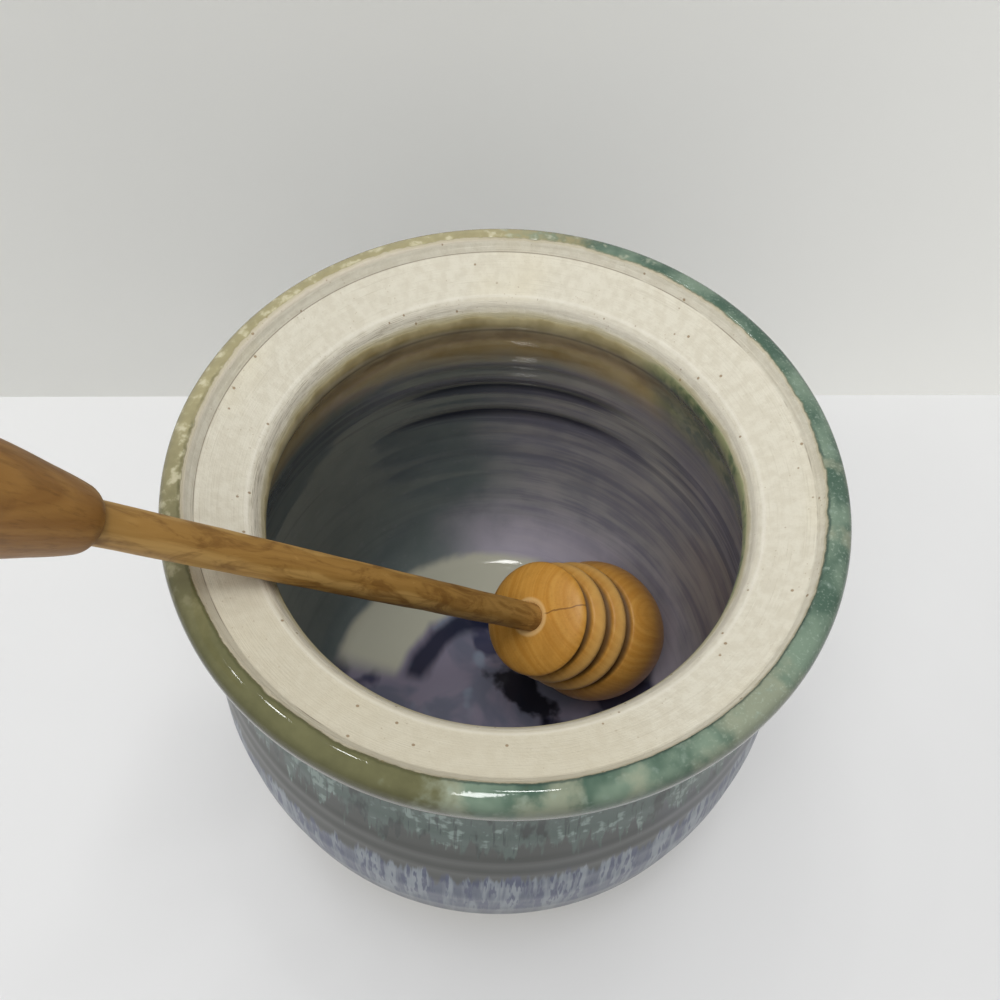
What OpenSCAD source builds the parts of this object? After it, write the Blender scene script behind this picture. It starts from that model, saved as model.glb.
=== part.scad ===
/* [Pot] */
// Height of the pot, from the foot to the top of the rim
pot_h = 113; // [108:1:120]
// Diameter over the rolled rim
rim_d = 112; // [108:1:116]
// Diameter at the widest part of the belly
belly_d = 115.4; // [113:0.2:122]
// Height of the widest part above the foot
belly_h = 53; // [48:1:58]
// How far the neck stands in under the rolled rim, on each side
neck_in = 4.5; // [3.5:0.1:5.5]
// Diameter of the foot where it stands
foot_d = 92; // [88:1:98]
// Thickness of the floor
floor_t = 6.2; // [5:0.1:8]
// Thickness of the wall at the belly
wall_t = 6; // [4.5:0.1:7.5]

/* [Lid seat] */
// Width of the rim, from its outer edge to the low upright wall that would centre a lid
rim_w = 5.2; // [4.6:0.1:6]
// Height of that wall, from the seat's corner to the inner edge of the rim
seat_h = 2.2; // [1.5:0.1:3]
// Width of the seat, from that wall in to the mouth's upper edge
seat_w = 8.3; // [7:0.1:9.3]
// Fall of the seat, from the corner in to the mouth's edge
seat_fall = 4.5; // [3:0.1:5.5]
// How far the throat narrows below the mouth's edge, on each side
throat_in = 1.7; // [1.2:0.1:2.4]

/* [Dipper] */
// Diameter of the dowel
shaft_d = 6.2; // [5.6:0.1:6.4]
// Length of dowel that shows between the head and the handle
shaft_l = 108; // [102:1:112]
// Largest diameter of the grooved head
head_d = 34; // [32:0.2:36]
// Diameter of the head's shoulder, in front of its first groove
shoulder_d = 25.6; // [24:0.2:28]
// Length of the grooved head
head_l = 47.4; // [45:0.2:49]
// Largest diameter of the handle
handle_d = 16.4; // [14:0.2:18]
// Length of the handle
handle_l = 46; // [36:1:56]
// Depth of the glued sockets in the head and the handle
socket_l = 15; // [10:1:18]
// Slope of the leaning dipper above the horizontal, in degrees
dipper_slope = 51.4; // [48:0.2:54]
// Direction that the leaning dipper's head points to, seen from above, in degrees
dipper_turn = 26.8; // [0:0.2:359]
// Sideways distance of the dowel's line from the pot's axis, positive to its left
dipper_side = -0.5; // [-3:0.1:3]
// Gap kept between the dipper and the pot where it leans and stands
dipper_gap = 0.3; // [0.2:0.05:0.5]

/* [Head grooves] */
// Number of grooves
groove_n = 3; // [2:1:3]
// Width of a groove at its lips
groove_w = 3.2; // [2.4:0.1:3.6]
// Depth of a groove
groove_depth = 1.8; // [1.2:0.1:2.2]
// Distance from the shoulder face to the first groove
first_groove = 4.4; // [3.6:0.1:5]
// Distance from one groove to the next
groove_pitch = 7.4; // [6.8:0.1:8]
// How far a bead stands proud of the groove lips beside it
bead_rise = 1.3; // [0.8:0.1:1.6]

/* [Hidden] */
round_fn = 128;
eps = 0.01;

// Diameters of the neck, the seat's wall, the mouth and the throat
neck_d = rim_d - 2 * neck_in;
seat_d = rim_d - 2 * rim_w;
mouth_d = seat_d - 2 * seat_w;
throat_d = mouth_d - 2 * throat_in;

// Heights in the rim and the throat
seat_corner_z = pot_h - seat_h;
mouth_z = seat_corner_z - seat_fall;
throat_z = mouth_z - 4.6;
under_z = throat_z - 13;
rim_edge_z = pot_h - 1.2;
roll_under_z = rim_edge_z - 5.4;
neck_z = roll_under_z - 6;
// Inner floor and the bend between the floor and the wall
floor_flat_r = foot_d / 2 - 5.5;
bevel = 2;

// Point on a cubic curve with ends a and d and handles b and c
function bezier(a, b, c, d, t) =
    pow(1 - t, 3) * a + 3 * t * pow(1 - t, 2) * b + 3 * t * t * (1 - t) * c + pow(t, 3) * d;
// Points along that curve after its first one, in n steps
function curve(a, b, c, d, n) = [for (i = [1:n]) bezier(a, b, c, d, i / n)];

// Outside of the pot: foot, belly, neck and rolled rim
outside = let (
    foot = [foot_d / 2, bevel],
    belly = [belly_d / 2, belly_h],
    neck = [neck_d / 2, neck_z],
    roll = [rim_d / 2 - 1.2, roll_under_z],
    edge = [rim_d / 2, rim_edge_z - 1.6],
    top = [seat_d / 2 + 1.6, pot_h]
) concat(
    [[0, 0], [foot_d / 2 - bevel, 0], foot],
    curve(foot, foot + [6, 15], belly - [0, 22], belly, 14),
    curve(belly, belly + [0, 17], neck - [0, 12], neck, 12),
    curve(neck, neck + [0, 3], roll - [2.2, 1.2], roll, 5),
    curve(roll, roll + [0.9, 0.6], edge - [0, 1.6], edge, 5),
    curve(edge, edge + [0, 2.2], top + [2.2, 0.1], top, 7)
);

// Seat, throat and inside of the pot, from the rim down to the middle of the floor
inside = let (
    arris = [seat_d / 2 + 0.8, pot_h - 0.4],
    corner = [seat_d / 2, seat_corner_z],
    mouth = [mouth_d / 2, mouth_z],
    throat = [throat_d / 2, throat_z],
    wall_top = [neck_d / 2 - wall_t, under_z],
    wall = [belly_d / 2 - wall_t, belly_h],
    floor_edge = [floor_flat_r, floor_t]
) concat(
    [arris, [seat_d / 2, pot_h - 0.8], corner, mouth + [1.2, 0.55]],
    curve(mouth + [1.2, 0.55], mouth, mouth - [0.4, 0.5], mouth - [0.8, 1.7], 4),
    curve(mouth - [0.8, 1.7], throat + [0.2, 1.8], throat + [0, 1.2], throat, 4),
    curve(throat, throat - [0, 3.4], wall_top + [-1.2, 6.4], wall_top, 8),
    curve(wall_top, wall_top + [1.6, -9], wall + [0, 18], wall, 10),
    curve(wall, wall - [0, 24], floor_edge + [6.5, 0], floor_edge, 16),
    [[0, floor_t]]
);

// One thrown and trimmed piece of stoneware
module pot() {
    color([0.45, 0.5, 0.47])
        rotate_extrude($fn = round_fn)
            polygon(concat(outside, inside));
}

// Outline of the head, from its shoulder face down to its tip
head_r = head_d / 2;
full_below = 6.4;
full_at = first_groove + groove_pitch * (groove_n - 1) + groove_w + full_below;
tip_flat_r = 8;

// Radius at the groove lips, s below the shoulder face: the head is fullest towards its tip
function lip_r(s) =
    head_r - bead_rise - (head_r - shoulder_d / 2) * max(0, full_at - s) / (full_at - first_groove);
// Round-bottomed groove that starts s below the shoulder face
function groove(s) = [
    for (i = [0:8]) let (a = 180 * i / 8, w = s + groove_w / 2 * (1 - cos(a)))
        [lip_r(w) - groove_depth * sin(a), -w]
];
// Rounded bead between two places below the shoulder face
function bead(s, e) = [
    for (i = [1:7]) let (w = s + (e - s) * i / 8)
        [lip_r(w) + bead_rise * sin(180 * i / 8), -w]
];

head_outline = let (
    mouth = [shaft_d / 2 + 1, 0],
    shoulder = [shoulder_d / 2, 1.4 - first_groove],
    grooves_end = full_at - full_below,
    last_lip = [lip_r(grooves_end), -grooves_end],
    full = [head_r, -full_at],
    tip = [tip_flat_r, -head_l]
) concat(
    [[0, 0], mouth],
    curve(mouth, [shoulder_d / 2 - 4, -0.2], shoulder + [-0.3, 1.3], shoulder, 8),
    [for (k = [0:groove_n - 1]) each concat(
        k > 0
            ? bead(first_groove + groove_pitch * (k - 1) + groove_w, first_groove + groove_pitch * k)
            : [],
        groove(first_groove + groove_pitch * k))],
    curve(last_lip, last_lip + [bead_rise, -1], full + [-0.1, 3], full, 6),
    curve(full, full - [0, 6.5], tip + [4.4, 0], tip, 9),
    [[0, -head_l]]
);

// The head's lowest point below its shoulder face, as it leans
head_drop = -min([for (p = head_outline) p[1] * sin(dipper_slope) - p[0] * cos(dipper_slope)]);
// Height of the place where the dowel enters the head: the tip stands on the floor
entry_z = floor_t + dipper_gap + head_drop;
// How high the mouth's edge reaches, measured square to the leaning dowel
lean = max([for (p = inside) p[1] * cos(dipper_slope) - p[0] * sin(dipper_slope)]);
// Distance of that place from the pot's axis: the dowel leans on the mouth's edge
entry_r = (lean + dipper_gap + shaft_d / 2 - entry_z * cos(dipper_slope)) / sin(dipper_slope);

// Frame of the leaning dipper: the dowel enters the head at its origin, and +Z runs up the dowel
module leaning() {
    rotate([0, 0, dipper_turn])
        translate([entry_r, dipper_side, entry_z])
            rotate([0, dipper_slope - 90, 0])
                children();
}

module dipper_head() {
    color([0.66, 0.47, 0.2])
        leaning()
            difference() {
                rotate_extrude($fn = round_fn)
                    polygon(head_outline);
                translate([0, 0, -socket_l])
                    cylinder(d = shaft_d, h = socket_l + eps, $fn = round_fn);
            }
}

// Plain dowel, glued into a socket at each end
module dipper_shaft() {
    color([0.62, 0.45, 0.24])
        leaning()
            translate([0, 0, -socket_l])
                cylinder(d = shaft_d, h = shaft_l + 2 * socket_l, $fn = round_fn);
}

// Turned handle, narrow where the dowel enters it
module dipper_handle() {
    face = [shaft_d / 2 + 0.3, 0];
    corner = face + [1.2, 1.6];
    throat = corner + [1.4, 6];
    wide = [handle_d / 2, handle_l * 0.52];
    end = [handle_d / 2 - 3.2, handle_l - 3.4];
    outline = concat(
        [[0, 0], face],
        curve(face, face + [0.6, 0.5], corner - [0.3, 0.7], corner, 3),
        curve(corner, corner + [0.5, 1.6], throat - [0.4, 2], throat, 4),
        curve(throat, throat + [0.9, 4], wide - [0, 6], wide, 8),
        curve(wide, wide + [0, 8], end + [0.9, -6], end, 8),
        curve(end, end + [-0.4, 2.4], [3, handle_l], [0, handle_l], 8)
    );
    color([0.55, 0.38, 0.19])
        leaning()
            translate([0, 0, shaft_l])
                difference() {
                    rotate_extrude($fn = round_fn)
                        polygon(outline);
                    translate([0, 0, -eps])
                        cylinder(d = shaft_d, h = socket_l + eps, $fn = round_fn);
                }
}

pot();
dipper_head();
dipper_shaft();
dipper_handle();
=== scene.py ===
import bpy, math
from mathutils import Matrix, Vector, noise


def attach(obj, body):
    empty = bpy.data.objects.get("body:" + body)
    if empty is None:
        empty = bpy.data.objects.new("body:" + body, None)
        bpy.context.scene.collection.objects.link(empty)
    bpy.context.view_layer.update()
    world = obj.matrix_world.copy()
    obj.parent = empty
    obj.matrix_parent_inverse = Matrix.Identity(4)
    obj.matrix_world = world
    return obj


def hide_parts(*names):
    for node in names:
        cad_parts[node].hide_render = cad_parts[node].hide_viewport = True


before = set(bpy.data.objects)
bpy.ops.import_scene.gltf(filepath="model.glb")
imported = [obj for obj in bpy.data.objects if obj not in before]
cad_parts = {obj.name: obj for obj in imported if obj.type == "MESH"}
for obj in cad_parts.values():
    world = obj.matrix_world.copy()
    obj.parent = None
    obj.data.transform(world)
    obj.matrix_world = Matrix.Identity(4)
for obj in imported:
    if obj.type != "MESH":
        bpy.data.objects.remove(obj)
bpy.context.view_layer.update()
MM = 0.001


# ---- camera, at the photograph's place ----

def make_camera():
    pitch, pan, roll = 1.0089, -0.0113, 0.0528
    focal, picture, sensor = 950.0, 1000, 36  # pixels, pixels and millimetres
    eye = Vector((0, -0.0875, 0.2402))
    ahead = Vector((math.sin(pan) * math.cos(pitch), math.cos(pan) * math.cos(pitch), -math.sin(pitch)))
    right = Vector((math.cos(pan), -math.sin(pan), 0))
    up = right.cross(ahead)
    x = right * math.cos(roll) + up * math.sin(roll)
    y = up * math.cos(roll) - right * math.sin(roll)
    data = bpy.data.cameras.new("view")
    data.sensor_width, data.sensor_fit, data.clip_start = sensor, 'HORIZONTAL', 0.01
    data.lens = focal * sensor / picture
    camera = bpy.data.objects.new("view", data)
    bpy.context.scene.collection.objects.link(camera)
    camera.matrix_world = Matrix((
        (x.x, y.x, -ahead.x, eye.x), (x.y, y.y, -ahead.y, eye.y), (x.z, y.z, -ahead.z, eye.z), (0, 0, 0, 1)))
    bpy.context.scene.camera = camera


make_camera()


# ---- shader graphs, written as sums and products ----

def srgb(r, g, b):
    """Linear colour of an 8-bit one."""
    return tuple((c / 255 / 12.92 if c <= 10 else ((c / 255 + 0.055) / 1.055) ** 2.4) for c in (r, g, b)) + (1,)


class Value:
    """An output in a graph, which +, -, * and / join to others by Math nodes."""
    def __init__(self, graph, socket):
        self.graph, self.socket = graph, socket

    def __add__(self, other): return self.graph.math('ADD', self, other)
    def __radd__(self, other): return self.graph.math('ADD', other, self)
    def __sub__(self, other): return self.graph.math('SUBTRACT', self, other)
    def __rsub__(self, other): return self.graph.math('SUBTRACT', other, self)
    def __mul__(self, other): return self.graph.math('MULTIPLY', self, other)
    def __rmul__(self, other): return self.graph.math('MULTIPLY', other, self)
    def __truediv__(self, other): return self.graph.math('DIVIDE', self, other)


class Graph:
    """A material whose surface is one Principled shader."""
    def __init__(self, name, roughness=0.5):
        self.material = bpy.data.materials.new(name)
        self.material.use_nodes = True
        self.tree = self.material.node_tree
        self.shader = self.tree.nodes["Principled BSDF"]
        self.shader.inputs["Roughness"].default_value = roughness

    def feed(self, socket, value):
        if isinstance(value, Value):
            self.tree.links.new(value.socket, socket)
        elif isinstance(value, tuple) and len(value) == 3 and socket.type == 'RGBA':
            socket.default_value = srgb(*value)
        else:
            socket.default_value = value

    def node(self, kind, inputs, output=0, **settings):
        n = self.tree.nodes.new("ShaderNode" + kind)
        for key, value in settings.items():
            setattr(n, key, value)
        for key, value in inputs.items():
            self.feed(n.inputs[key], value)
        return Value(self, n.outputs[output])

    def math(self, operation, a, b=0.0):
        return self.node("Math", {0: a, 1: b}, operation=operation)

    def length(self, x, y):
        return self.math('SQRT', x * x + y * y)

    def attribute(self, name):
        return self.node("Attribute", {}, "Vector", attribute_name=name)

    def split(self, vector):
        n = self.tree.nodes.new("ShaderNodeSeparateXYZ")
        self.feed(n.inputs[0], vector)
        return [Value(self, s) for s in n.outputs]

    def join(self, x, y, z):
        return self.node("CombineXYZ", {0: x, 1: y, 2: z})

    def noise(self, vector, scale, detail=2.0, roughness=0.5, distortion=0.0):
        """Fractal noise, about 0 to 1 with its middle at 0.5."""
        return self.node("TexNoise", {
            "Vector": vector, "Scale": scale, "Detail": detail, "Roughness": roughness, "Distortion": distortion})

    def swing(self, noise, size):
        """A noise's swing about its middle, size from end to end."""
        return (noise - 0.5) * size

    def dots(self, vector, scale, inside, outside):
        """1 in small round dots of these radii, as shares of their spacing, and 0 elsewhere."""
        return 1 - self.step(self.node("TexVoronoi", {"Vector": vector, "Scale": scale}, "Distance"), inside, outside)

    def step(self, x, low, high):
        """0 below low, 1 above high, smooth between them."""
        return self.node("MapRange", {"Value": x, 1: low, 2: high, 3: 0.0, 4: 1.0},
                         interpolation_type='SMOOTHSTEP', clamp=True)

    def band(self, x, low, high, soft):
        """1 between low and high, with soft edges."""
        return self.step(x, low - soft, low + soft) * (1 - self.step(x, high - soft, high + soft))

    def mix(self, factor, a, b, blend='MIX'):
        n = self.tree.nodes.new("ShaderNodeMix")
        n.data_type, n.blend_type = 'RGBA', blend
        for socket, value in ((n.inputs[0], factor), (n.inputs[6], a), (n.inputs[7], b)):
            self.feed(socket, value)
        return Value(self, n.outputs[2])

    def shade(self, colour, factor):
        """Colour times a grey factor."""
        return self.mix(1.0, colour, self.join(factor, factor, factor), 'MULTIPLY')

    def bump(self, height, distance, strength=1.0, under=None):
        n = self.tree.nodes.new("ShaderNodeBump")
        self.feed(n.inputs["Height"], height)
        n.inputs["Distance"].default_value = distance * MM
        n.inputs["Strength"].default_value = strength
        if under:
            self.feed(n.inputs["Normal"], under)
        return Value(self, n.outputs[0])

    def finish(self, colour, roughness, normal):
        for key, value in (("Base Color", colour), ("Roughness", roughness), ("Normal", normal)):
            self.feed(self.shader.inputs[key], value)
        return self.material


# ---- profiles, in millimetres as in the CAD source ----

def curve(a, b, c, d, n=24):
    """Points after the first on a cubic curve."""
    out = []
    for i in range(1, n + 1):
        t = i / n
        out.append(tuple((1 - t) ** 3 * p + 3 * t * (1 - t) ** 2 * q + 3 * t * t * (1 - t) * u + t ** 3 * v
                         for p, q, u, v in zip(a, b, c, d)))
    return out


def off(p, r, z):
    return (p[0] + r, p[1] + z)


def walk(points, place):
    """The profile resampled at these distances along it."""
    out, i, gone = [], 0, 0.0
    step = math.dist(points[0], points[1])
    for s in place:
        while s > gone + step and i < len(points) - 2:
            gone += step
            i += 1
            step = math.dist(points[i], points[i + 1])
        t = min(1.0, (s - gone) / step)
        out.append(tuple(points[i][k] + (points[i + 1][k] - points[i][k]) * t for k in (0, 1)))
    return out


def length(points):
    return sum(math.dist(a, b) for a, b in zip(points, points[1:]))


def smooth(x, low, high):
    t = min(1.0, max(0.0, (x - low) / (high - low)))
    return t * t * (3 - 2 * t)


def hump(x, middle, width):
    return math.exp(-((x - middle) / width) ** 2)


def lathe(name, rows, turns, at, closed_start=True, closed_end=True, attributes=()):
    """A turned mesh of rows profile places. at(i, angle) gives the point in mm and the attributes' values there."""
    points, values = [], [[] for _ in attributes]

    def put(i, angle):
        place, facts = at(i, angle)
        points.append(tuple(c * MM for c in place))
        for store, value in zip(values, facts):
            store.extend(value)
    first = 1 if closed_start else 0
    last = rows - 1 if closed_end else rows
    for i in range(first, last):
        for k in range(turns):
            put(i, 2 * math.pi * k / turns)
    count = last - first
    faces = [(i * turns + k, i * turns + (k + 1) % turns, (i + 1) * turns + (k + 1) % turns, (i + 1) * turns + k)
             for i in range(count - 1) for k in range(turns)]
    if closed_start:
        put(0, 0.0)
        faces += [(len(points) - 1, (k + 1) % turns, k) for k in range(turns)]
    if closed_end:
        put(rows - 1, 0.0)
        base = (count - 1) * turns
        faces += [(len(points) - 1, base + k, base + (k + 1) % turns) for k in range(turns)]
    mesh = bpy.data.meshes.new(name)
    mesh.from_pydata(points, [], faces)
    mesh.update()
    for attribute, value in zip(attributes, values):
        mesh.attributes.new(attribute, 'FLOAT_VECTOR', 'POINT').data.foreach_set("vector", value)
    mesh.shade_smooth()
    piece = bpy.data.objects.new(name, mesh)
    bpy.context.scene.collection.objects.link(piece)
    return piece


def add_material(piece, material, body, slot, *nodes):
    piece.data.materials.append(material)
    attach(piece, body)
    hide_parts(*nodes)


# ---- the pot: one thrown piece ----

FOOT, BELLY, NECK = (46, 2), (57.7, 53), (51.5, 100.4)
ROLL, EDGE, TOP = (54.8, 106.4), (56, 110.2), (52.4, 113)
ARRIS, CORNER, MOUTH, THROAT = (51.7, 112.65), (50.7, 110.75), (42.5, 106.3), (40.8, 101.7)
WALL_TOP, WALL, POOL = (45.5, 88.7), (51.7, 53), (37, 6.2)
outside = ([(0, 0), (44, 0)] + curve((44, 0), (45.2, 0), (46, 0.8), FOOT, 8)
           + curve(FOOT, off(FOOT, 6, 15), off(BELLY, 0, -22), BELLY, 60)
           + curve(BELLY, off(BELLY, 0, 17), off(NECK, 0, -12), NECK, 60)
           + curve(NECK, off(NECK, 0, 3), off(ROLL, -2.2, -1.2), ROLL)
           + curve(ROLL, off(ROLL, 0.9, 0.6), off(EDGE, 0, -1.6), EDGE)
           + curve(EDGE, off(EDGE, 0, 2.2), off(TOP, 2.2, 0.1), TOP))
inside = ([TOP, (51.95, 112.85), ARRIS, off(ARRIS, -0.2, -0.3), CORNER, off(MOUTH, 1.2, 0.55)]
          + curve(off(MOUTH, 1.2, 0.55), MOUTH, off(MOUTH, -0.4, -0.5), off(MOUTH, -0.8, -1.7))
          + curve(off(MOUTH, -0.8, -1.7), off(THROAT, 0.2, 1.8), off(THROAT, 0, 1.2), THROAT)
          + curve(THROAT, off(THROAT, 0, -3.4), off(WALL_TOP, -1.2, 6.4), WALL_TOP, 40)
          + curve(WALL_TOP, off(WALL_TOP, 1.6, -9), off(WALL, 0, 18), WALL, 50)
          + curve(WALL, off(WALL, 0, -26), off(POOL, 11, 0), POOL, 60) + [(0, 6.2)])
rim_at = length(outside)
profile = outside + inside[1:]
profile_length = length(profile)
reach = profile_length - rim_at

# Places along the profile, close together at the rim and the seat
places, s = [], 0.0
while s < profile_length - 0.4:
    places.append(s)
    d = rim_at - s
    if d > 117.5: s += 2.2 if d > 124 else 0.7
    elif d > 13: s += 0.95
    elif d > -19: s += 0.33
    elif d > -124: s += 0.8
    else: s += 2.0
places.append(profile_length)
spots = walk(profile, places)
alongs = [rim_at - p for p in places]


def profile_normal(i):
    a, b = spots[max(0, i - 1)], spots[min(len(spots) - 1, i + 1)]
    dr, dz = b[0] - a[0], b[1] - a[1]
    n = math.hypot(dr, dz) or 1.0
    return dz / n, -dr / n


normals = [profile_normal(i) for i in range(len(spots))]
normals[0], normals[-1] = (0, -1), (0, 1)

# Finger ridges left by throwing: (distance along the profile, height, width)
OUTER_RIDGES = ((22.5, 0.06, 1.5), (31, 0.07, 1.6), (39.6, 0.15, 1.5), (44.6, 0.12, 1.3), (50.5, 0.09, 1.5),
                (58, 0.12, 1.8), (67, 0.12, 1.7), (75.5, 0.14, 1.9), (85, 0.12, 1.6), (94, 0.14, 1.8), (103, 0.1, 1.4))
INNER_GROOVES = ((-20.4, 0.1, 1.0), (-26.0, 0.06, 1.6), (-39.4, 0.2, 1.9), (-48.2, 0.34, 2.4), (-54.4, 0.08, 1.4),
                 (-60.2, 0.28, 2.4), (-69.5, 0.1, 1.8), (-78, 0.08, 2.0), (-87, 0.08, 2.0), (-97, 0.06, 2.2))
FLOOR_R, FLOOR_TURN, FLOOR_RISE = 40, 6.4, 0.02  # the floor's spiral: its radius, pitch and height
RIDGE_SINK, GLAZE_STEP = 0.06, 0.10  # how low the outside is between ridges, and the glaze's step on the rim


def glaze_top(angle):
    """Where the glaze ends on top of the rim, along the profile."""
    return -0.45 + 0.35 * math.sin(angle) - 0.4 * math.cos(angle) + 0.2 * math.sin(3 * angle + 0.6)


def rise(a, angle):
    """How far the pot's surface stands off its CAD profile, in mm, and how full a ridge or groove is there."""
    spin = angle / (2 * math.pi)
    u, v = math.cos(angle), math.sin(angle)
    sway = 0.7 * noise.noise(Vector((u * 1.3, v * 1.3, a * 0.02 + 7)))
    relief = 0.0
    if 12 < a < 112:
        at = a + sway + 1.2 * math.sin(angle + 0.4)
        relief = sum(h * hump(at, m, w) for m, h, w in OUTER_RIDGES)
        relief -= RIDGE_SINK
    elif -reach + FLOOR_R < a < -17:
        at = a + sway + 1.6 * (spin - 0.5 if spin > 0.5 else spin)
        relief = -sum(h * hump(at, m, w) for m, h, w in INNER_GROOVES)
        relief *= 0.2 + 0.8 * smooth(v - 0.2 * abs(u), 0.62, 0.95) if a < -30 else 0.8
    elif a <= -reach + FLOOR_R:
        # The floor keeps the low spiral of the potter's finger
        r = reach + a
        spiral = math.sin((r / FLOOR_TURN - spin) * 2 * math.pi)
        relief = FLOOR_RISE * spiral * smooth(r, 2, 9) * (1 - smooth(r, 20, 30))
    fade = smooth(a, 11, 16) * (1 - smooth(a, 106, 112)) if a > 0 else smooth(-a, 17, 22)
    body = relief * fade
    slow = noise.noise(Vector((u * 1.1, v * 1.1, a * 0.015))) * (0.16 if a > -20 else 0.05)
    # Glaze is thick on the roll and ends in a low step on top of the rim
    skin = 0.0
    if -2 < a < 12:
        edge = glaze_top(angle)
        skin = GLAZE_STEP * smooth(a, edge - 0.4, edge + 0.7)
        skin += 0.025 * noise.noise(Vector((u * 7, v * 7, a * 0.15))) - GLAZE_STEP
    return body + slow * (0 if a > 116 else 1) + skin, relief / (0.15 if a > 0 else 0.3)


WRAP_R = 50  # radius of the tube on which the attribute wrap lays the profile out, in mm


def pot_at(i, angle):
    """A point of the pot, and there wrap (x and y on the tube, distance along) and plan (x, y, ridge)."""
    (r, z), a, (nr, nz) = spots[i], alongs[i], normals[i]
    out, ridge = rise(a, angle)
    if r < 0.01 or z < 0.01:
        out = 0.0
    r += nr * out
    z = max(0.0, z + nz * out)
    u, v = math.cos(angle), math.sin(angle)
    return (r * u, r * v, z), ((WRAP_R * u, WRAP_R * v, a), (spots[i][0] * u, spots[i][0] * v, ridge))


# ---- glazed stoneware and bare clay, by zone along the profile ----

# Where the zones meet: outside, from the rim's top down to the foot, then inside, down to the floor
ROLL_END, RUNS_END, PALE_FROM, LOW_FROM, FOOT_FROM, BARE_FOOT = 9.2, 35.0, 47.5, 62.0, 92.0, 109.5
INSIDE_FROM, THROAT_EDGE, KHAKI_END, FLOOR_FROM = -14.0, -15.6, -41.0, 43.5 - reach


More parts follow.
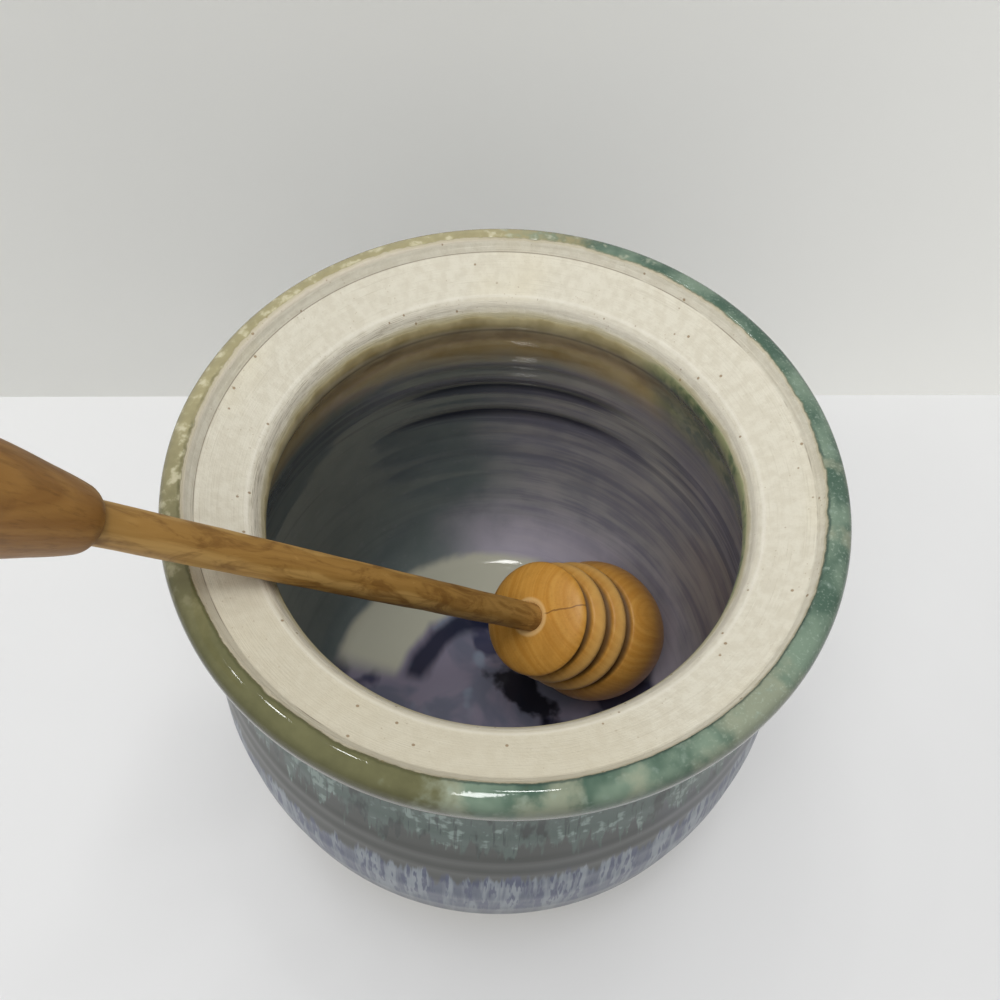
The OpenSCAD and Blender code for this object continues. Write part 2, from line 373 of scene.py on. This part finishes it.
def stoneware():
    g = Graph("glazed_stoneware")
    wrap = g.attribute("wrap")
    u, v, a = g.split(wrap)
    fx, fy, ridge = g.split(g.attribute("plan"))
    # Cosine and sine of the angle round the pot, and noises from broad to fine, some drawn out along or across
    c, s = u / WRAP_R, v / WRAP_R
    n_wide = g.noise(wrap, 0.035, 2)
    n_mid = g.noise(wrap, 0.13, 3)
    n_small = g.noise(wrap, 0.55, 3)
    n_fine = g.noise(wrap, 2.2, 2)
    column = g.join(u, v, a * 0.06)
    n_run = g.noise(column, 0.42, 3, 0.6)
    n_thread = g.noise(g.join(u, v, a * 0.05), 1.7, 2, 0.6)
    streak = g.noise(g.join(u, v, a * 0.09), 1.25, 2, 0.55)
    lines = g.noise(g.join(u * 0.02, v * 0.02, a), 3.2, 3, 0.7)
    teal = g.step(c - s * 0.12 + g.swing(n_mid, 0.7) + g.swing(n_small, 0.5) + g.swing(n_wide, 0.3), -0.14, 0.14)

    def bare_clay():
        """Cream clay with iron specks and tooling lines, painted shade on the near side and in the seat's corner, and
        a painted highlight on the mouth's edge.
        """
        clay = g.mix(g.step(n_small, 0.35, 0.65), (222, 217, 200), (214, 208, 190))
        clay = g.mix(g.step(n_wide, 0.5, 0.75) * 0.35, clay, (226, 216, 184))
        clay = g.mix(g.step(n_fine, 0.55, 0.75) * 0.15, clay, (200, 192, 172))
        clay = g.mix(g.step(lines, 0.55, 0.72) * 0.22, clay, (176, 166, 146))
        # Painted shade: the clay on the near side is darker and yellower, where less light falls
        clay = g.mix(g.step(s + 0.3 * c, -0.6, -0.9) * 0.5, clay, (206, 197, 172))
        land = g.band(a, -1.0, 1.4, 0.25) * (0.35 + g.step(0 - c, -0.4, 0.3) * 0.65)
        clay = g.mix(land, clay, g.mix(n_small, (196, 187, 168), (224, 216, 198)))
        # Painted shade: a dark line in the seat's corner, patchy round the pot
        seat_corner_shade = g.band(a, -3.12, -2.94, 0.08) * g.step(n_mid + s * 0.2 - c * 0.15, 0.35, 0.6)
        clay = g.mix(seat_corner_shade * 0.75, clay, (126, 112, 94))
        # Painted highlight: a thin pale line along the mouth's edge
        clay = g.mix(g.band(a, -11.9, -11.3, 0.3) * 0.35, clay, (240, 236, 224))
        clay = g.mix(g.band(a, -13.9, -12.5, 0.5) * 0.5, clay, (240, 234, 218))
        fine = g.noise(g.join(u * 0.03, v * 0.03, a), 7.0, 2, 0.7)
        scratches = g.step(0 - a, 11.9, 12.6) * g.step(fine, 0.5, 0.64)
        clay = g.mix(scratches * (0.12 + g.step(0 - c, 0.0, 0.6) * 0.45), clay, (150, 138, 114))
        clay = g.mix(g.step(0 - a, 14.0, 15.8) * 0.4, clay, (196, 184, 146))
        rare = g.noise(wrap, 0.2, 1)
        clay = g.mix(g.dots(wrap, 0.34, 0.07, 0.12) * g.step(rare, 0.46, 0.5) * 0.75, clay, (138, 110, 72))
        return g.mix(g.dots(wrap, 0.9, 0.07, 0.15) * g.step(rare, 0.52, 0.6) * 0.4, clay, (160, 136, 100))

    def roll_glaze():
        """Olive on the left, darker on the near side as painted shade, and sea green on the right, with pale patches.
        """
        # Painted shade and light: the olive is darker on the near side and paler at the back, where the light from
        # behind falls
        olive = g.mix(g.step(s + g.swing(n_mid, 0.5), -0.75, 0.3), (104, 103, 72), (164, 156, 120))
        olive = g.shade(olive, 0.6 + n_mid * 0.4 + n_small * 0.4)
        olive = g.mix(g.step(n_small, 0.5, 0.7) * g.step(s - c * 0.6, -0.2, 0.5) * 0.6, olive, (206, 200, 168))
        green = g.mix(g.step(n_mid, 0.35, 0.65), (76, 99, 85), (122, 141, 123))
        patch = g.noise(g.join(u + 31, v - 12, a * 0.6), 0.085, 2, 0.45)
        green = g.mix(g.step(patch + g.swing(n_small, 0.15) - s * 0.1, 0.58, 0.68) * 0.75, green, (154, 158, 136))
        green = g.mix(g.step(n_small, 0.55, 0.8) * 0.5, green, (142, 160, 148))
        roll = g.mix(teal, olive, green)
        crust = g.step(n_small, 0.54, 0.72) * g.step(s - c * 0.9, 0.2, 0.9) * (1 - g.step(a, 2.5, 4.5))
        roll = g.mix(crust * 0.5, roll, (206, 200, 172))
        roll = g.mix(g.step(n_fine, 0.54, 0.72) * g.step(c, 0.3, 0.8) * 0.22, roll, (190, 204, 188))
        roll = g.shade(roll, 1.05 - g.step(a, 1.6, 5.0) * 0.45)
        return g.mix(g.band(a, 8.6, 9.3, 0.3) * 0.6, roll, (126, 132, 124))

    def body_glaze():
        """Runs below the roll, a grey band with paler ridges, and a blue-white band that runs to the foot."""
        blob = g.noise(g.join(u, v, a * 0.26), 0.36, 3, 0.55)
        run = g.mix(g.step(blob, 0.33, 0.46), (40, 52, 47), (90, 110, 102))
        run = g.mix(g.step(blob * 0.6 + n_small * 0.4, 0.52, 0.6) * 0.75, run, (166, 186, 178))
        run = g.mix(g.step(streak, 0.52, 0.6) * (1 - g.step(a + g.swing(n_run, 14), 22.0, 27.0)), run, (14, 24, 23))
        run = g.mix(g.step(n_thread, 0.57, 0.66) * 0.6, run, (30, 42, 41))
        grey = g.mix(n_mid, (62, 66, 60), (78, 81, 76))
        grey = g.mix(g.step(ridge, 0.35, 1.0) * 0.8, grey, (100, 101, 97))
        lilac = g.mix(g.step(n_mid, 0.35, 0.65), (98, 103, 113), (80, 86, 92))
        grey = g.mix(g.step(c + g.swing(n_wide, 1), 0.25, 0.85), grey, lilac)
        pale = g.mix(g.step(n_run, 0.4, 0.6), (82, 94, 118), (152, 162, 172))
        pale = g.mix(g.step(streak, 0.5, 0.58) * 0.9, pale, (48, 62, 106))
        low = g.mix(g.step(n_run, 0.4, 0.65), (80, 88, 98), (124, 131, 138))
        low = g.mix(g.step(n_thread, 0.52, 0.66) * 0.7, low, (66, 70, 100))
        low = g.mix(g.step(ridge, 0.4, 1.0) * 0.5, low, (150, 156, 160))
        dark_foot = g.mix(n_run, (70, 74, 80), (118, 122, 122))
        ends = g.swing(n_run, 26) + g.swing(streak, 12)
        body = g.mix(g.step(a + ends, RUNS_END, RUNS_END + 3), run, grey)
        body = g.mix(g.step(a + ends * 0.6 + 3 * c, PALE_FROM, PALE_FROM + 3), body, pale)
        body = g.mix(g.step(a + ends * 0.9, LOW_FROM, LOW_FROM + 14), body, low)
        body = g.mix(g.step(a + ends, FOOT_FROM, FOOT_FROM + 14), body, dark_foot)
        return g.shade(body, 0.74)

    def throat_glaze():
        """Khaki, warmer lower down, and mottled green on the right."""
        khaki = g.mix(g.step(n_mid, 0.3, 0.7), (216, 204, 160), (176, 162, 120))
        warm = g.mix(g.step(n_mid, 0.3, 0.7), (224, 200, 142), (190, 164, 106))
        khaki = g.mix(g.step(0 - a, 18.0, 24.0), khaki, warm)
        green = g.mix(g.step(n_small * 0.35 + n_mid * 0.65, 0.4, 0.6), (104, 122, 92), (166, 170, 130))
        khaki = g.mix(g.step(c - g.swing(n_wide, 0.8) - 0.25 * s, 0.36, 0.66), khaki, green)
        return g.mix(g.band(a, -21.0, -19.8, 0.5) * 0.4, khaki, (120, 104, 72))

    def wall_glaze():
        """Slate on the left and plum on the right, with the dark rings of the throwing."""
        left = g.mix(n_mid, (112, 124, 126), (136, 146, 144))
        turns = g.noise(g.join(u * 0.1, v * 0.1, a), 0.3, 3, 0.6) * 0.75 + n_mid * 0.25
        right = g.mix(g.step(turns, 0.38, 0.62), (148, 148, 160), (182, 180, 182))
        wall = g.mix(g.step(c + g.swing(n_wide, 1.1), -0.35, 0.35), left, right)
        low = g.step(0 - a + g.swing(n_mid, 16), 90.0, 113.0) * g.step(c + g.swing(n_wide, 0.6), -0.5, -0.1)
        wall = g.mix(low * 0.7, wall, (206, 198, 214))
        bands = g.noise(g.join(u * 0.05, v * 0.05, a), 0.24, 4, 0.6)
        wall = g.mix(g.step(bands, 0.5, 0.62) * (0.12 + g.band(a, -66.0, -32.0, 8.0) * 0.4), wall, (74, 74, 98))
        return g.mix(g.step(n_small, 0.6, 0.75) * 0.15, wall, (164, 162, 170))

    def floor_glaze(cloud):
        """Lilac clouded with navy and light blue, a cream bow with a navy inner edge, and a painted shadow under the
        dipper's head.
        """
        def drift(layer, scale, detail):
            return g.noise(g.join(fx, fy, layer), scale, detail)
        floor = g.mix(g.step(cloud, 0.42, 0.56), (120, 122, 140), (146, 140, 158))
        floor = g.mix(g.step(drift(9.0, 0.06, 3), 0.56, 0.64) * 0.8, floor, (48, 52, 82))
        floor = g.mix(g.step(drift(21.0, 0.1, 2), 0.6, 0.7) * 0.6, floor, (150, 166, 184))
        far = g.length(fx, fy) + g.swing(cloud, 7)
        bow = g.step(s * 0.848 - c * 0.53, 0.6, 0.74)
        floor = g.mix(bow * g.step(far, 25.0, 27.5), floor, (208, 207, 188))
        floor = g.mix(bow * g.band(far, 19.0, 24.5, 1.5) * 0.9, floor, (34, 38, 60))
        # Painted shadow: a navy-black patch on the floor under the dipper's head
        across, down = fx * 0.77 - fy * 0.64 - 4.6, fx * 0.64 + fy * 0.77 - 6.2
        painted_head_shadow = g.math('SQRT', across * across * 0.14 + down * down) + g.swing(drift(5.0, 0.16, 3), 9)
        return g.mix(g.step(painted_head_shadow, 5.4, 3.4) * 0.92, floor, (14, 16, 28))

    cloud = g.noise(g.join(fx, fy, 3.0), 0.055, 3, 0.5, 0.6)
    khaki_low = a + g.swing(n_mid, 8) + g.step(c, 0.2, 0.7) * 4
    inner = g.mix(g.step(khaki_low, KHAKI_END, KHAKI_END + 14), wall_glaze(), throat_glaze())
    inner = g.mix(g.step(0 - ridge, 0.15, 0.95) * 0.82 * g.step(0 - a, 30.0, 36.0), inner, (26, 26, 42))
    inner = g.mix(g.step(FLOOR_FROM - a + g.swing(cloud, 6), 0.0, 3.0), inner, floor_glaze(cloud))
    outer = g.mix(g.step(a, ROLL_END, ROLL_END + 1.2), roll_glaze(), body_glaze())
    glaze = g.mix(g.step(a, INSIDE_FROM, INSIDE_FROM + 1), inner, outer)

    # Where the clay is bare: on the seat, down to the throat, and on the foot. The sines of the glaze's edge
    # are those of glaze_top, and on_top, below and at_foot are distances past an edge, in mm
    third_sine, third_cosine = s * (3 - 4 * s * s), c * (4 * c * c - 3)
    edge = 0.35 * s - 0.4 * c - 0.45 + 0.165 * third_sine + 0.113 * third_cosine
    ragged = g.swing(n_mid, 1.3) + g.swing(n_small, 0.9) + g.swing(g.noise(wrap, 1.2, 2), 0.35)
    on_top = a - edge + ragged * 0.8
    below = THROAT_EDGE - a + g.swing(n_mid, 2.2) + g.swing(n_wide, 1.0) + g.swing(lines, 1.2)
    at_foot = BARE_FOOT - a + g.swing(n_run, 8) + g.swing(n_small, 1.5)
    glazed = g.math('MAXIMUM', g.step(on_top, -0.15, 0.15) * g.step(at_foot, -0.1, 0.1), g.step(below, -0.5, 0.5))
    colour = g.mix(glazed, bare_clay(), glaze)
    thin = g.band(on_top, -0.5, 0.1, 0.25) * 0.35 + g.band(below, -0.9, 0.1, 0.3) * 0.4
    colour = g.mix(thin, colour, (168, 158, 112))
    dark_line = g.band(on_top, 0.1, 0.5, 0.2) * g.step(n_mid - s * 0.25, 0.4, 0.6) * (1 - g.step(a, 3.0, 4.0))
    colour = g.mix(dark_line * 0.65, colour, g.mix(teal, (84, 84, 56), (48, 70, 66)))

    # The body is a little less glossy than the roll and the inside
    satin = g.step(a, 9.5, 12.5) * 0.25
    roughness = 0.78 - glazed * (0.73 - satin) + g.swing(n_small, 0.03)
    grain = g.bump(n_fine * 0.35 + n_small * 0.3 + lines * 0.6, 0.16, 0.7)
    skin = g.bump(n_small * 0.5 + g.noise(column, 0.8, 2) * 0.5, 0.07, 0.2)
    under = g.node("Mix", {0: glazed, 4: grain, 5: skin}, 1, data_type='VECTOR')
    g.shader.inputs["Specular IOR Level"].default_value = 0.34
    return g.finish(colour, roughness, g.bump(glazed, 0.14, 0.8, under=under))


# ---- turned wood ----

def wood(name, light, middle, dark, mottled, roughness, polish):
    """Wood whose grain runs along the piece: the attribute grain is (x, y, distance along) in mm.

    mottled is the strength and scale of its blots and the strength of its fibres. The attribute turned is
    (depth in a groove, height on a bead, 0), each 0 to 1.
    """
    blot_strength, blot_scale, fibre_strength = mottled
    g = Graph(name)
    grain = g.attribute("grain")
    x, y, along = g.split(grain)
    depth = g.split(g.attribute("turned"))[0]
    fibre = g.noise(g.join(x, y, along * 0.05), 1.5, 3, 0.6)
    thread = g.noise(g.join(x, y, along * 0.03), 4.5, 2, 0.6)
    across = g.length(x - 19, y + 7) + g.swing(g.noise(grain, 0.05, 2), 5)
    rings = g.noise(g.join(across, 0.0, along * 0.01), 0.75, 2, 0.5)
    blot = g.noise(g.join(x, y, along * 0.35), blot_scale, 4, 0.65, 0.8)
    colour = g.mix(g.step(rings, 0.35, 0.65), light, middle)
    colour = g.mix(g.step(fibre, 0.5, 0.72) * fibre_strength, colour, dark)
    colour = g.mix(g.step(blot, 0.45, 0.62) * blot_strength, colour, dark)
    colour = g.mix(g.step(blot, 0.38, 0.28) * blot_strength * 0.7, colour, light)
    colour = g.mix(g.step(thread, 0.6, 0.75) * 0.3, colour, light)
    # Darker in the grooves: burnt lines in part and painted shade in part
    colour = g.mix(g.step(depth, 0.1, 0.75) * 0.85, colour, tuple(int(c * 0.5) for c in dark))
    rough = roughness + g.swing(fibre, 0.2) + depth * 0.2
    g.shader.inputs["Coat Weight"].default_value = polish
    g.shader.inputs["Coat Roughness"].default_value = 0.35
    relief = g.bump(fibre * 0.6 + thread * 0.4, 0.12, 0.6)
    return g, colour, rough, relief


# ---- the dipper, in the frame of its dowel ----

turn, slope = math.radians(26.8), math.radians(51.4)
heading = Vector((math.cos(turn), math.sin(turn), 0))
AXIS = -heading * math.cos(slope) + Vector((0, 0, math.sin(slope)))
SIDE = Vector((-math.sin(turn), math.cos(turn), 0))
LIFT = AXIS.cross(SIDE) * -1
ENTRY = heading * 7.33275 + SIDE * -0.5 + Vector((0, 0, 49.1194))


def dipper_point(x, y, along):
    """Place in mm of a point in the dowel's frame, where along counts up from the head's shoulder."""
    return tuple(ENTRY + LIFT * x + SIDE * y + AXIS * along)


SHAFT_R, SHAFT_L, HANDLE_L = 3.1, 108, 46
HEAD_R, SHOULDER_R, HEAD_L, RISE, FULL_AT = 17.0, 12.8, 47.4, 1.3, 28.8
GROOVES, GROOVE_W, GROOVE_DEPTH = (4.4, 11.8, 19.2), 3.2, 1.8


def lip(s):
    """The head's radius at the lip of a groove, which grows from the shoulder to the full width."""
    return HEAD_R - RISE - (HEAD_R - SHOULDER_R) * max(0.0, FULL_AT - s) / (FULL_AT - GROOVES[0])


def head_profile():
    """Rows from the dowel to the tip: radius, distance below the shoulder, depth in a groove, height on a bead."""
    out = [(3.12, 0.35, 0), (3.3, 0.1, 0), (4.1, 0.0, 0)]
    out += [p + (0,) for p in curve((4.1, 0), (8.8, 0.2), (12.5, 1.7), (12.8, 3.0), 22)]
    for k, g in enumerate(GROOVES):
        if k:
            start = GROOVES[k - 1] + GROOVE_W
            for i in range(1, 15):
                t = i / 15
                w = start + (g - start) * t
                out.append((lip(w) + RISE * math.sin(math.pi * t), w, 0, math.sin(math.pi * t)))
        for i in range(0, 21):
            t = math.pi * i / 20
            w = g + GROOVE_W / 2 * (1 - math.cos(t))
            out.append((lip(w) - GROOVE_DEPTH * math.sin(t), w, math.sin(t) ** 0.7))
    ends = GROOVES[-1] + GROOVE_W
    last, full, tip = (lip(ends), ends), (HEAD_R, FULL_AT), (8.0, HEAD_L)
    out += [p + (0,) for p in curve(last, (last[0] + 1.3, last[1] + 1), (full[0] - 0.1, full[1] - 3), full, 18)]
    out += [p + (0,) for p in curve(full, (full[0], full[1] + 6.5), (12.4, HEAD_L), tip, 30)]
    return out + [(4, HEAD_L, 0), (0, HEAD_L, 0)]


def turned(name, rows, turns, wobble=0.0, **kw):
    """A turned piece of the dipper, wobble mm out of round.

    Its rows are (radius, distance up the dowel, depth in a groove, height on a bead), the last where it isn't 0.
    """
    def at(i, angle):
        r, s, depth, crest = (rows[i] + (0,))[:4]
        if r > 0.5:
            r += wobble * noise.noise(Vector((math.cos(angle) * 1.6, math.sin(angle) * 1.6, s * 0.12)))
        x, y = r * math.cos(angle), r * math.sin(angle)
        return dipper_point(x, y, s), ((x, y, s), (depth, crest, 0))
    return lathe(name, len(rows), turns, at, attributes=("grain", "turned"), **kw)


def build_pot():
    piece = lathe("pot_body", len(spots), 256, pot_at, attributes=("wrap", "plan"))
    add_material(piece, stoneware(), "pot", "glazed_stoneware", "pot")


def build_dipper():
    rows = [(p[0], -p[1]) + p[2:] for p in head_profile()]
    head = turned("dipper_head_turned", rows, 160, 0.05, closed_start=False)
    g, colour, rough, relief = wood("head_wood", (208, 154, 72), (196, 138, 56), (158, 106, 38),
                                    (0.25, 0.1, 0.2), 0.42, 0.15)
    # Beads paler as a painted highlight, a pale ring of glue round the dowel and a fine crack across the shoulder
    x, y, along = g.split(g.attribute("grain"))
    crest = g.split(g.attribute("turned"))[1]
    # Painted highlight: paler towards each bead's crest
    colour = g.mix(crest * 0.55, colour, (226, 184, 112))
    glue = g.band(g.length(x, y), 2.9, 4.3, 0.35) * g.step(along, -2.0, -1.0)
    colour = g.mix(glue * 0.8, colour, (228, 190, 130))
    bend = x * 0.35 + y * 0.94 + g.swing(g.noise(g.join(x, y, 0.0), 0.3, 2), 1.2)
    crack = g.band(bend, -0.16, 0.16, 0.1) * g.step(x * 0.94 - y * 0.35, 3.6, 4.6) * g.step(along, -4.2, -3.0)
    colour = g.mix(crack * 0.7, colour, (110, 70, 30))
    add_material(head, g.finish(colour, rough, relief), "dipper", "head_wood", "dipper_head")

    count, sunk = 90, 1.2
    rows = [(SHAFT_R, -sunk + (SHAFT_L + 2 * sunk) * i / count, 0) for i in range(count + 1)]
    shaft = turned("dipper_shaft_dowel", rows, 72, 0.1, closed_start=False, closed_end=False)
    g, colour, rough, relief = wood("dowel_wood", (194, 154, 88), (168, 126, 62), (126, 86, 34),
                                    (0.75, 0.28, 0.35), 0.6, 0.05)
    add_material(shaft, g.finish(colour, rough, relief), "dipper", "dowel_wood", "dipper_shaft")

    face, corner, throat = (3.4, 0), (4.6, 1.6), (6.0, 7.6)
    wide, end = (8.2, HANDLE_L * 0.52), (5.0, HANDLE_L - 3.4)
    shape = ([(3.12, 0.3), (3.25, 0.08), face] + curve(face, (4.0, 0.5), (4.3, 0.9), corner, 8)
             + curve(corner, (5.1, 3.2), (5.6, 5.6), throat, 12)
             + curve(throat, (6.9, 11.6), (8.2, 17.92), wide, 16)
             + curve(wide, (8.2, 31.92), (5.9, 36.6), end, 18)
             + curve(end, (4.6, HANDLE_L - 1), (3, HANDLE_L), (0, HANDLE_L), 12))
    rows = [(r, SHAFT_L + s, 0) for r, s in shape]
    handle = turned("dipper_handle_turned", rows, 96, 0.06, closed_start=False)
    g, colour, rough, relief = wood("handle_wood", (164, 118, 54), (146, 100, 40), (106, 70, 26),
                                    (0.4, 0.16, 0.4), 0.5, 0.1)
    add_material(handle, g.finish(colour, rough, relief), "dipper", "handle_wood", "dipper_handle")


build_pot()
build_dipper()


# ---- table, backdrop and lights ----

def plane(name, corners, colour, roughness, backdrop=False):
    mesh = bpy.data.meshes.new(name)
    mesh.from_pydata(corners, [], [(0, 1, 2, 3)])
    piece = bpy.data.objects.new(name, mesh)
    bpy.context.scene.collection.objects.link(piece)
    g = Graph(name + "_surface", roughness)
    place = g.node("TexCoord", {}, "Object")
    mottle = g.noise(place, 9.0, 2)
    tone = g.mix(g.step(mottle, 0.3, 0.7), colour, tuple(c - 3 for c in colour))
    g.feed(g.shader.inputs["Base Color"], tone)
    grain = g.noise(place, 900.0, 2)
    g.feed(g.shader.inputs["Normal"], g.bump(grain, 0.03, 0.15))
    if backdrop:
        # The backdrop glows a little for the camera only, a painted light that is brighter on the right, and is clear
        # from behind
        behind = g.node("NewGeometry", {}, "Backfacing")
        clear = g.tree.nodes.new("ShaderNodeBsdfTransparent")
        blend = g.tree.nodes.new("ShaderNodeMixShader")
        g.feed(blend.inputs[0], behind)
        g.tree.links.new(g.shader.outputs[0], blend.inputs[1])
        seen = g.node("LightPath", {}, "Is Camera Ray")
        side = g.split(place)[0]
        g.feed(g.shader.inputs["Emission Color"], (250, 249, 246))
        g.feed(g.shader.inputs["Emission Strength"], seen * (0.09 + g.step(side, -0.15, 0.15) * 0.13))
        g.tree.links.new(clear.outputs[0], blend.inputs[2])
        g.tree.links.new(blend.outputs[0], g.tree.nodes["Material Output"].inputs[0])
    mesh.materials.append(g.material)
    return piece


def set_stage():
    half = 1.5
    plane("table", [(-half, -half, 0), (half, -half, 0), (half, half, 0), (-half, half, 0)], (236, 236, 236), 0.55)
    tilt = math.radians(4.63)
    middle, along = Vector((-0.0009, 0.1034, 0)), Vector((math.cos(tilt), math.sin(tilt), 0))
    a, b = middle - along * 0.6, middle + along * 0.6
    top = Vector((0, 0, 0.145))
    wall = plane("backdrop", [tuple(a), tuple(b), tuple(b + top), tuple(a + top)], (232, 232, 227), 0.8, True)
    wall.visible_shadow = False


def lamp(name, at, size, power, glossy=True, target=(0, 0, 0.06)):
    data = bpy.data.lights.new(name, 'AREA')
    data.shape = 'RECTANGLE'
    data.size, data.size_y, data.energy = size[0], size[1], power
    piece = bpy.data.objects.new(name, data)
    bpy.context.scene.collection.objects.link(piece)
    piece.location = at
    piece.rotation_euler = (Vector(target) - Vector(at)).to_track_quat('-Z', 'Y').to_euler()
    piece.visible_glossy = glossy


def set_lights():
    world = bpy.data.worlds.new("soft_room")
    world.use_nodes = True
    sky = world.node_tree.nodes["Background"]
    sky.inputs[0].default_value, sky.inputs[1].default_value = (1, 1, 1, 1), 0.3
    bpy.context.scene.world = world
    height = 1.2
    lamp("soft_ceiling", (0.0, 0.1, height), (0.8, 0.8), 3.7, glossy=False)
    lamp("soft_front", (-0.25, -0.55, height), (0.7, 0.6), 5.5, glossy=False)
    # Small lamps overhead: each one is a glint in the pot or a streak on the roll
    for k, (x, y, wide, deep, power) in enumerate((
            (-0.02, -0.1, 0.07, 0.3, 1.6), (0.06, 0.16, 0.09, 0.03, 0.3), (-0.197, 0.24, 0.04, 0.03, 0.15),
            (-0.323, 0.28, 0.06, 0.03, 0.2), (-0.515, 0.215, 0.05, 0.03, 0.2), (-0.73, 0.13, 0.04, 0.03, 0.15))):
        lamp("lamp_%d" % (k + 1), (x, y, height), (wide, deep), power)


set_stage()
set_lights()
bpy.context.scene.view_settings.view_transform = 'Standard'
